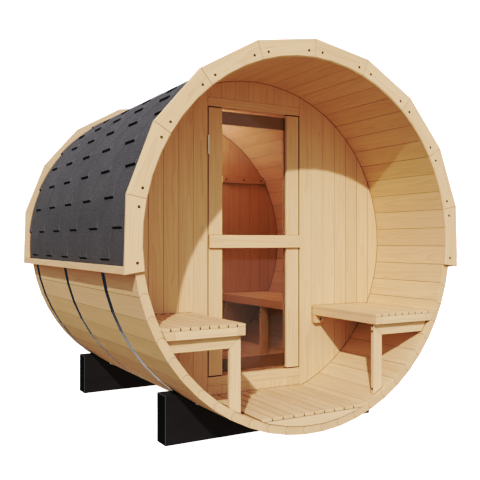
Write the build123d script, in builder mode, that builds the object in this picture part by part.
from build123d import *
import os
from math import cos, radians, sin, sqrt

os.makedirs("parts", exist_ok=True)

# A barrel sauna: a barrel of wooden staves lying along Y on two cradles. Its front end is
# an open porch with a slatted bench on each side. A wall with a hinged glass door shuts
# off the cabin behind the porch, where a bench runs along each side.
# All sizes are in millimetres. The porch faces -Y, +Z is up, and the origin is on the
# ground under the middle of the barrel. Sections across the barrel are drawn as seen from
# the front, and heights in them are measured from the barrel's axis.

# The barrel
STAVES = 55
BARREL_R = 947  # to the corners between the outer faces of the staves
STAVE_T = 42
BARREL_LENGTH = 1880
AXIS_HEIGHT = 1005
BEAD_R = 20
LAND = 3  # the flat at each corner, beside the bead or the cove
GAP = 0.3  # between pieces that lie side by side

# The board arches on both ends, and the edge boards under the roof
ARCH_R = 1000
ARCH_T = 16
ARCH_HALF = 5  # boards on each side of the top
ARCH_BEVEL = 4
FASCIA_X = 990
FASCIA_TOP = -110
FASCIA_BOTTOM = -142
ROOF_T = 4

# The bands and the cradles, with their places measured from the front of the front arch
BAND_Y = (450, 1108, 1766)
BAND_W = 45
BAND_T = 1
CRADLE_Y = (355, 1683)
CRADLE_T = 102
CRADLE_X = 650
CRADLE_TOP = -758

# The end walls are of upright boards
PORCH_DEPTH = 573
REAR_WALL_DEPTH = 1727
WALL_T = 42
BOARD = 86.7
BOARD_GROOVE = 2.5
WALL_BOARDS = 21  # from one side of the barrel to the other
DOOR_BOARDS = 7
DOORWAY_TOP = 740
FRAME_H = 49  # the header over the doorway and the sill under it
BACKREST_Z = (441, 494)
BACKREST_X = 409
BACKREST_T = 20

# The door
CLEARANCE = 5
STILE_W = 86
STILE_T = 45
GLASS_T = 6
GLASS_SETBACK = 22
GLASS_TOP = 724
GASKET_W = 3
RAIL_H = 72
MID_RAIL_T = 15

# The door's hinges: three knuckles on a pin that stands in front of the wall
HINGE_Z = 528.5
HINGE_H = 105
KNUCKLES = 3
KNUCKLE_R = 5
PIN_R = 2.2
BORE_R = 2.6
LEAF_T = 2
LEAF_DEPTH = 32
PIN_FORWARD = 5
KNUCKLE_GAP = 0.4

# The benches
SEAT_TOP = -381
SEAT_X = 395
SEAT_SLATS = 9
SEAT_PITCH = 47.7
SLAT_W = 41
SLAT_T = 15
BENCH_RAIL_H = 40
OUTER_RAIL_X = 755
LEG_X = 404
LEG_W = 60
LEG_T = 20
PORCH_LEG_Y = 40
CABIN_LEG_Y = (665, 1165, 1665)
LEDGER_H = 47
LEDGER_T = 30
PORCH_FRONT = 10

# The duckboards
FLOOR_TOP = -840
FLOOR_X = 305
FLOOR_SLATS = 10
FLOOR_SLAT_W = 54
FLOOR_BATTEN_H = 30
FLOOR_BATTEN_W = 60

# Values that follow from those above
STEP = 360 / STAVES
INNER_R = BARREL_R - STAVE_T
FRONT = -BARREL_LENGTH / 2 - ARCH_T
STAVE_FRONT = FRONT + ARCH_T
STAVE_REAR = STAVE_FRONT + BARREL_LENGTH
ARCH_STEP = 3 * STEP
FRONT_WALL_Y = FRONT + PORCH_DEPTH
CABIN_FRONT = FRONT_WALL_Y + WALL_T
CABIN_REAR = FRONT + REAR_WALL_DEPTH
DOORWAY_X = DOOR_BOARDS * BOARD / 2
FRAME_TOP = DOORWAY_TOP + FRAME_H


def write(piece, label):
    """Label a finished piece and write it to its own file."""
    piece.part.label = label
    export_step(piece.part, f"parts/{label}.step")


def across(y):
    """The plane across the barrel at y, centred on its axis and seen from the front."""
    return Plane((0, y, AXIS_HEIGHT), x_dir=(1, 0, 0), z_dir=(0, -1, 0))


def polar(radius, angle):
    """The point of a section at an angle in degrees, counted from +X towards the top."""
    return (radius * cos(radians(angle)), radius * sin(radians(angle)))


def at_joint(radius, angle, clockwise=0):
    """A point on the joint between two staves, or so many millimetres clockwise of it."""
    x, z = polar(radius, angle)
    dx, dz = polar(clockwise, angle - 90)
    return (x + dx, z + dz)


def corner(radius, side, gap=0):
    """A corner of the stave whose middle is on +X, set back by a gap along the stave's face."""
    x, z = polar(radius, side * STEP / 2)
    return (x, z - side * gap)


def fitted(label, boards, both_sides=False):
    """Boards given by their ranges in x, z and y, each cut off where it meets the staves."""
    with BuildPart() as piece:
        for (x0, x1), (z0, z1), (y0, y1) in boards:
            with BuildSketch(across(y1)):
                with Locations(((x0 + x1) / 2, (z0 + z1) / 2)):
                    Rectangle(x1 - x0, z1 - z0)
                RegularPolygon(INNER_R, STAVES, rotation=90, mode=Mode.INTERSECT)
            extrude(amount=y1 - y0)
        if both_sides:
            mirror(about=Plane.YZ)
    write(piece, label)
    return piece


def mirrored(piece, label):
    """The same piece on the other side of the barrel."""
    with BuildPart() as other:
        mirror(piece.part, about=Plane.YZ)
    write(other, label)


# The staves
mid_r = BARREL_R - STAVE_T / 2
bead_half = STAVE_T / 2 - LAND
bead_depth = BEAD_R - sqrt(BEAD_R**2 - bead_half**2)
cove_half = sqrt((BEAD_R + GAP) ** 2 - (BEAD_R - bead_depth + GAP) ** 2)

with BuildSketch() as stave:
    with BuildLine():
        bead = ThreePointArc(
            at_joint(mid_r - bead_half, -STEP / 2),
            at_joint(mid_r, -STEP / 2, bead_depth),
            at_joint(mid_r + bead_half, -STEP / 2),
        )
        cove = ThreePointArc(
            at_joint(mid_r - cove_half, STEP / 2, GAP),
            at_joint(mid_r, STEP / 2, bead_depth + GAP),
            at_joint(mid_r + cove_half, STEP / 2, GAP),
        )
        Polyline(bead @ 1, corner(BARREL_R, -1), corner(BARREL_R, 1, GAP), cove @ 1)
        Polyline(bead @ 0, corner(INNER_R, -1), corner(INNER_R, 1, GAP), cove @ 0)
    make_face()


def stave_panel(label, middle, count=11):
    """A run of staves side by side, with the middle one at the given angle."""
    with BuildPart() as panel:
        with BuildSketch(across(STAVE_REAR)):
            with PolarLocations(0, count, middle - STEP * (count - 1) / 2, count * STEP):
                add(stave.sketch)
        extrude(amount=BARREL_LENGTH)
    write(panel, label)


stave_panel("staves_bottom", -90)
stave_panel("staves_lower_right", -90 + 11 * STEP)
stave_panel("staves_upper_right", -90 + 22 * STEP)
stave_panel("staves_upper_left", -90 - 22 * STEP)
stave_panel("staves_lower_left", -90 - 11 * STEP)


def arch(label, outer_y, inward):
    """A ring of mitred boards over the ends of the staves, bevelled along its opening."""
    joints = 2 * ARCH_HALF - 1
    with BuildPart() as ring:
        with BuildSketch(across(max(outer_y, outer_y + inward * ARCH_T))):
            with BuildLine():
                corners = [polar(ARCH_R, 90 + k * ARCH_STEP) for k in range(-ARCH_HALF, ARCH_HALF + 1)]
                Polyline(*corners, (0, 0), close=True)
            make_face()
            RegularPolygon(INNER_R, STAVES, rotation=90, mode=Mode.SUBTRACT)
            with PolarLocations(mid_r, joints, 90 - (ARCH_HALF - 1) * ARCH_STEP, joints * ARCH_STEP):
                Rectangle(2 * (ARCH_R - INNER_R), GAP, mode=Mode.SUBTRACT)
        extrude(amount=ARCH_T)
        with BuildSketch(across(outer_y)):
            RegularPolygon(INNER_R + ARCH_BEVEL, STAVES, rotation=90)
        with BuildSketch(across(outer_y + inward * ARCH_BEVEL)):
            RegularPolygon(INNER_R, STAVES, rotation=90)
        loft(mode=Mode.SUBTRACT)
    write(ring, label)


arch("front_arch", FRONT, 1)
arch("rear_arch", STAVE_REAR + ARCH_T, -1)

# The boards that finish the lower edges of the roof between the arches
with BuildPart() as fascia:
    with BuildSketch(across(STAVE_REAR)):
        with Locations((0, (FASCIA_TOP + FASCIA_BOTTOM) / 2)):
            Rectangle(2 * FASCIA_X, FASCIA_TOP - FASCIA_BOTTOM)
        RegularPolygon(BARREL_R, STAVES, rotation=90, mode=Mode.SUBTRACT)
    extrude(amount=BARREL_LENGTH)
write(fascia, "fascia_boards")

# The shingled skin over the top, from one fascia board to the other
with BuildPart() as roof:
    with BuildSketch(across(STAVE_REAR)):
        RegularPolygon(BARREL_R + ROOF_T, STAVES, rotation=90)
        RegularPolygon(BARREL_R, STAVES, rotation=90, mode=Mode.SUBTRACT)
        with Locations((0, FASCIA_TOP)):
            Rectangle(2 * ARCH_R, 2 * ARCH_R, align=(Align.CENTER, Align.MAX), mode=Mode.SUBTRACT)
    extrude(amount=BARREL_LENGTH)
write(roof, "roof_shingles")

# The steel bands, pulled tight round the staves from fascia to fascia
with BuildPart() as bands:
    for y in BAND_Y:
        with BuildSketch(across(FRONT + y + BAND_W / 2)):
            RegularPolygon(BARREL_R + BAND_T, STAVES, rotation=90)
            RegularPolygon(BARREL_R, STAVES, rotation=90, mode=Mode.SUBTRACT)
            with Locations((0, FASCIA_BOTTOM)):
                Rectangle(2 * ARCH_R, 2 * ARCH_R, align=(Align.CENTER, Align.MIN), mode=Mode.SUBTRACT)
        extrude(amount=BAND_W)
write(bands, "steel_bands")


def cradle(label, front_y):
    """A crossways foot with a round seat for the barrel and a flat shoulder at each end."""
    with BuildPart() as foot:
        with BuildSketch(across(FRONT + front_y + CRADLE_T)):
            with Locations((0, -AXIS_HEIGHT)):
                Rectangle(2 * CRADLE_X, AXIS_HEIGHT + CRADLE_TOP, align=(Align.CENTER, Align.MIN))
            Circle(BARREL_R + BAND_T, mode=Mode.SUBTRACT)
        extrude(amount=CRADLE_T)
    write(foot, label)


cradle("cradle_front", CRADLE_Y[0])
cradle("cradle_rear", CRADLE_Y[1])


def board_wall(label, x_range, z_range, y_range):
    """A wall of upright boards with a V groove over each seam, on both faces."""
    with BuildPart() as wall:
        with BuildSketch(across(y_range[1])):
            with Locations((sum(x_range) / 2, sum(z_range) / 2)):
                Rectangle(x_range[1] - x_range[0], z_range[1] - z_range[0])
            RegularPolygon(INNER_R, STAVES, rotation=90, mode=Mode.INTERSECT)
        extrude(amount=y_range[1] - y_range[0])
        seams = [(k - WALL_BOARDS / 2) * BOARD for k in range(1, WALL_BOARDS)]
        inner_seams = [x for x in seams if x_range[0] + BOARD / 2 < x < x_range[1] - BOARD / 2]
        with BuildSketch(Plane.XY):
            with Locations(*[(x, y) for x in inner_seams for y in y_range]):
                Rectangle(sqrt(2) * BOARD_GROOVE, sqrt(2) * BOARD_GROOVE, rotation=45)
        extrude(amount=AXIS_HEIGHT + BARREL_R, mode=Mode.SUBTRACT)
    write(wall, label)


# The front wall, in pieces round the doorway, and the rear wall
front_wall = (FRONT_WALL_Y, CABIN_FRONT)
board_wall("front_wall_left", (-BARREL_R, -DOORWAY_X), (-BARREL_R, BARREL_R), front_wall)
board_wall("front_wall_right", (DOORWAY_X, BARREL_R), (-BARREL_R, BARREL_R), front_wall)
board_wall("wall_over_door", (-DOORWAY_X, DOORWAY_X), (FRAME_TOP, BARREL_R), front_wall)
board_wall("wall_under_door", (-DOORWAY_X, DOORWAY_X), (-BARREL_R, -FRAME_TOP), front_wall)
fitted("door_header", [((-DOORWAY_X, DOORWAY_X), (DOORWAY_TOP, FRAME_TOP), front_wall)])
fitted("door_sill", [((-DOORWAY_X, DOORWAY_X), (-FRAME_TOP, -DOORWAY_TOP), front_wall)])
rear_wall = (CABIN_REAR, CABIN_REAR + WALL_T)
board_wall("rear_wall", (-BARREL_R, BARREL_R), (-BARREL_R, BARREL_R), rear_wall)
backrest_y = (CABIN_REAR - BACKREST_T, CABIN_REAR)
fitted("rear_wall_battens", [((BACKREST_X, BARREL_R), BACKREST_Z, backrest_y)], both_sides=True)


def duckboard(name, y_range, batten_places):
    """A floor of lengthwise slats on crossways battens that rest on the staves."""
    pitch = (2 * FLOOR_X - FLOOR_SLAT_W) / (FLOOR_SLATS - 1)
    under = FLOOR_TOP - SLAT_T
    slats = []
    for k in range(FLOOR_SLATS):
        x = -FLOOR_X + k * pitch
        slats.append(((x, x + FLOOR_SLAT_W), (under, FLOOR_TOP), y_range))
    battens = []
    for y in batten_places:
        batten_y = (y, y + FLOOR_BATTEN_W)
        battens.append(((-BARREL_R, BARREL_R), (under - FLOOR_BATTEN_H, under), batten_y))
    fitted(f"{name}_slats", slats)
    fitted(f"{name}_battens", battens)


porch = (FRONT + PORCH_FRONT, FRONT_WALL_Y)
cabin = (CABIN_FRONT, CABIN_REAR)
porch_middle = (sum(porch) - FLOOR_BATTEN_W) / 2
cabin_middle = (sum(cabin) - FLOOR_BATTEN_W) / 2
duckboard("porch_duckboard", porch, (porch[0] + LEG_T, porch_middle, porch[1] - FLOOR_BATTEN_W))
duckboard("cabin_duckboard", cabin, (cabin[0], cabin_middle, cabin[1] - FLOOR_BATTEN_W))


def bench_seats(name, y_range):
    """The seat slats of the bench on the right, and the same on the left."""
    slats = []
    for k in range(SEAT_SLATS):
        x = SEAT_X + k * SEAT_PITCH
        slats.append(((x, x + SLAT_W), (SEAT_TOP - SLAT_T, SEAT_TOP), y_range))
    right = fitted(f"{name}_bench_right_seat", slats)
    mirrored(right, f"{name}_bench_left_seat")


def bench_frames(name, y_range, leg_places, crosspiece_places):
    """What carries the seats: lengthwise rails, crosspieces, legs and the rails over them."""
    seat_under = SEAT_TOP - SLAT_T
    frame_under = seat_under - BENCH_RAIL_H
    rail_z = (frame_under, seat_under)
    inner = ((SEAT_X, SEAT_X + SLAT_W), rail_z, y_range)
    outer = ((OUTER_RAIL_X, BARREL_R), rail_z, y_range)
    fitted(f"{name}_bench_rails", [inner, outer], both_sides=True)
    crosspieces = []
    for y in crosspiece_places:
        crosspieces.append(((SEAT_X + SLAT_W, OUTER_RAIL_X), rail_z, (y, y + LEG_T)))
    fitted(f"{name}_bench_crosspieces", crosspieces, both_sides=True)

    # The leg and the rail meet in a mitre at the inner top corner, and both end at the staves.
    with BuildPart() as legs:
        for y in leg_places:
            with BuildSketch(across(y + LEG_T)):
                with BuildLine():
                    Polyline(
                        (LEG_X, frame_under),
                        (LEG_X, -BARREL_R),
                        (LEG_X + LEG_W, -BARREL_R),
                        (LEG_X + LEG_W, frame_under - LEG_W),
                        close=True,
                    )
                make_face()
                RegularPolygon(INNER_R, STAVES, rotation=90, mode=Mode.INTERSECT)
            extrude(amount=LEG_T)
        mirror(about=Plane.YZ)
    write(legs, f"{name}_bench_legs")
    with BuildPart() as leg_rails:
        for y in leg_places:
            with BuildSketch(across(y + LEG_T)):
                with BuildLine():
                    Polyline(
                        (LEG_X, frame_under),
                        (BARREL_R, frame_under),
                        (BARREL_R, frame_under - LEG_W),
                        (LEG_X + LEG_W, frame_under - LEG_W),
                        close=True,
                    )
                make_face()
                RegularPolygon(INNER_R, STAVES, rotation=90, mode=Mode.INTERSECT)
            extrude(amount=LEG_T)
        mirror(about=Plane.YZ)
    write(leg_rails, f"{name}_bench_leg_rails")


porch_leg = FRONT + PORCH_LEG_Y
cabin_legs = [FRONT + y for y in CABIN_LEG_Y]
bench_seats("porch", porch)
bench_frames("porch", porch, [porch_leg], [porch[0], sum(porch) / 2, porch[1] - LEG_T])
bench_seats("cabin", cabin)
bench_frames("cabin", cabin, cabin_legs, cabin_legs)
ledger_z = (SEAT_TOP - SLAT_T - BENCH_RAIL_H - LEDGER_H, SEAT_TOP - SLAT_T - BENCH_RAIL_H)
ledger_y = (FRONT_WALL_Y - LEDGER_T, FRONT_WALL_Y)
fitted("porch_bench_ledgers", [((SEAT_X, BARREL_R), ledger_z, ledger_y)], both_sides=True)


# The door: two stiles, with rails and a pane between them and a rail across their fronts
def door_pieces(label, boxes):
    """Square pieces of the door, given by their ranges in x, z and y."""
    with BuildPart() as piece:
        for (x0, x1), (z0, z1), (y0, y1) in boxes:
            with BuildSketch(across(y1)):
                with Locations(((x0 + x1) / 2, (z0 + z1) / 2)):
                    Rectangle(x1 - x0, z1 - z0)
            extrude(amount=y1 - y0)
    write(piece, label)


leaf_x = DOORWAY_X - CLEARANCE
leaf_z = DOORWAY_TOP - CLEARANCE
pane_x = leaf_x - STILE_W
stile_y = (FRONT_WALL_Y, FRONT_WALL_Y + STILE_T)
glass_y = (FRONT_WALL_Y + GLASS_SETBACK, FRONT_WALL_Y + GLASS_SETBACK + GLASS_T)
rail_y = (glass_y[1], stile_y[1])
stile_z = (-leaf_z, leaf_z)
glass_z = (-GLASS_TOP, GLASS_TOP)
glass_x = pane_x - GASKET_W
door_pieces("door_stiles", [(x, stile_z, stile_y) for x in ((-leaf_x, -pane_x), (pane_x, leaf_x))])
door_pieces("door_gaskets", [(x, glass_z, glass_y) for x in ((-pane_x, -glass_x), (glass_x, pane_x))])
door_pieces("door_glass", [((-glass_x, glass_x), glass_z, glass_y)])
door_pieces("door_top_rail", [((-pane_x, pane_x), (GLASS_TOP - RAIL_H, GLASS_TOP), rail_y)])
door_pieces("door_bottom_rail", [((-pane_x, pane_x), (-GLASS_TOP, RAIL_H - GLASS_TOP), rail_y)])
mid_rail_y = (FRONT_WALL_Y - MID_RAIL_T, FRONT_WALL_Y)
door_pieces("door_mid_rail", [((-leaf_x, leaf_x), (-RAIL_H / 2, RAIL_H / 2), mid_rail_y)])

# The hinges: the leaves face each other in the gap beside the door
pin_x = -(DOORWAY_X + leaf_x) / 2
pin_y = FRONT_WALL_Y - PIN_FORWARD
knuckle_pitch = (HINGE_H + KNUCKLE_GAP) / KNUCKLES


def hinge_leaves(label, side, first, with_pin):
    """One leaf of each hinge, with every other knuckle, in the upper and lower place."""
    plate_x = side * (CLEARANCE - LEAF_T) / 2
    plate_start = KNUCKLE_R + KNUCKLE_GAP
    with BuildPart() as leaves:
        for middle in (HINGE_Z, -HINGE_Z):
            bottom = AXIS_HEIGHT + middle - HINGE_H / 2
            with BuildSketch(Plane((pin_x, pin_y, bottom))):
                with Locations((plate_x, plate_start)):
                    Rectangle(LEAF_T, LEAF_DEPTH - plate_start, align=(Align.CENTER, Align.MIN))
            extrude(amount=HINGE_H)
            for k in range(first, KNUCKLES, 2):
                with BuildSketch(Plane((pin_x, pin_y, bottom + k * knuckle_pitch))):
                    Circle(KNUCKLE_R)
                    with Locations((plate_x, 0)):
                        Rectangle(LEAF_T, LEAF_DEPTH / 2, align=(Align.CENTER, Align.MIN))
                    Circle(PIN_R if with_pin else BORE_R, mode=Mode.SUBTRACT)
                extrude(amount=knuckle_pitch - KNUCKLE_GAP)
            if with_pin:
                with BuildSketch(Plane((pin_x, pin_y, bottom))):
                    Circle(PIN_R)
                extrude(amount=HINGE_H)
    write(leaves, label)


hinge_leaves("wall_hinge_leaves", -1, 0, True)
hinge_leaves("door_hinge_leaves", 1, 1, False)
